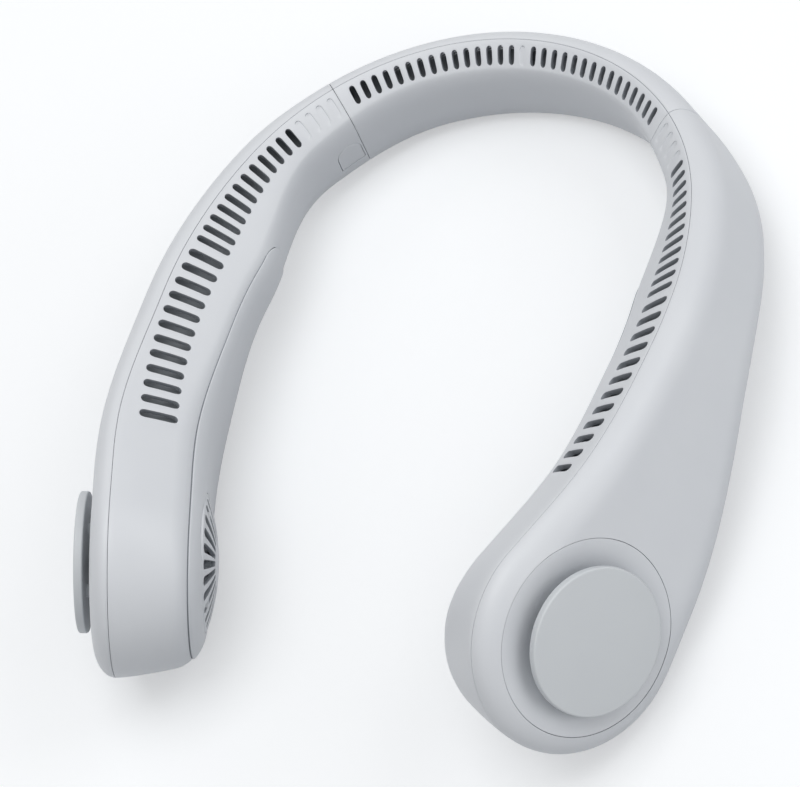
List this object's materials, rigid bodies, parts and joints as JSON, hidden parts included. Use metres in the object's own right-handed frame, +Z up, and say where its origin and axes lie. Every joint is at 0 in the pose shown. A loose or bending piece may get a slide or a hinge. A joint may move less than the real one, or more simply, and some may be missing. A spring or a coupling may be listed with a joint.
{
  "type": "neck fan",
  "caption": "Wearable horseshoe neckband fan with an air intake in each front end and air slots along the band.",
  "frame": {"origin": "centre of the footprint of the fan as it lies on a table, on the table's surface", "axes": "+X to the wearer's left, +Y to the back of the neck, +Z up, slots upwards"},
  "size_m": [0.1874, 0.2118, 0.0645],
  "materials": {
    "shell": "satin",
    "cap": "satin",
    "impeller": "satin",
    "steel": "brushed",
    "magnet": "dull",
    "bronze": "sintered",
    "winding": "enamelled",
    "cell": "wrapped",
    "dark": "matt",
    "board": "lacquered",
    "lens": "clear"
  },
  "bodies": {
    "neckband": {"middle_outer_shell": "shell", "middle_slotted_shell": "shell", "middle_air_divider": "shell", "wire_harness": "dark", "left_outer_shell": "shell", "right_outer_shell": "shell", "left_slotted_shell": "shell", "right_slotted_shell": "shell", "left_inner_cover": "shell", "right_inner_cover": "shell", "left_inner_grille": "shell", "right_inner_grille": "shell", "left_intake_dish": "shell", "right_intake_dish": "shell", "left_disc_cap": "cap", "right_disc_cap": "cap", "left_motor_bush": "bronze", "right_motor_bush": "bronze", "left_stator": "winding", "right_stator": "winding", "left_motor_plate": "steel", "right_motor_plate": "steel", "left_motor_screws": "steel", "right_motor_screws": "steel", "left_volute_wall": "shell", "right_volute_wall": "shell", "left_battery": "cell", "right_battery": "cell", "left_air_divider": "shell", "right_air_divider": "shell", "left_joint_sleeve": "dark", "right_joint_sleeve": "dark", "left_joint_tab": "shell", "right_joint_tab": "shell", "control_board": "board", "charge_socket": "steel", "power_switch": "dark", "light_guide": "lens", "board_screws": "steel"},
    "left_rotor": {"left_impeller": "impeller", "left_rotor_cup": "steel", "left_magnet_ring": "magnet", "left_motor_shaft": "steel"},
    "right_rotor": {"right_impeller": "impeller", "right_rotor_cup": "steel", "right_magnet_ring": "magnet", "right_motor_shaft": "steel"},
    "power_button": {"power_button": "cap"}
  },
  "joints": [
    {"name": "left_impeller_spin", "type": "hinge", "parent": "neckband", "child": "left_rotor", "pos_m": [0.07329, -0.07559, 0.03545], "axis": [0.8751, -0.281, 0.394], "continuous": true},
    {"name": "right_impeller_spin", "type": "hinge", "parent": "neckband", "child": "right_rotor", "pos_m": [-0.07329, -0.07559, 0.03545], "axis": [-0.8751, -0.281, 0.394], "continuous": true},
    {"name": "power_button_press", "type": "slide", "parent": "neckband", "child": "power_button", "axis": [-0.5246, -0.1064, 0.8447], "range_m": [0, 0.0006], "stiffness_N_per_m": 1500, "springref_m": -0.0003}
  ]
}
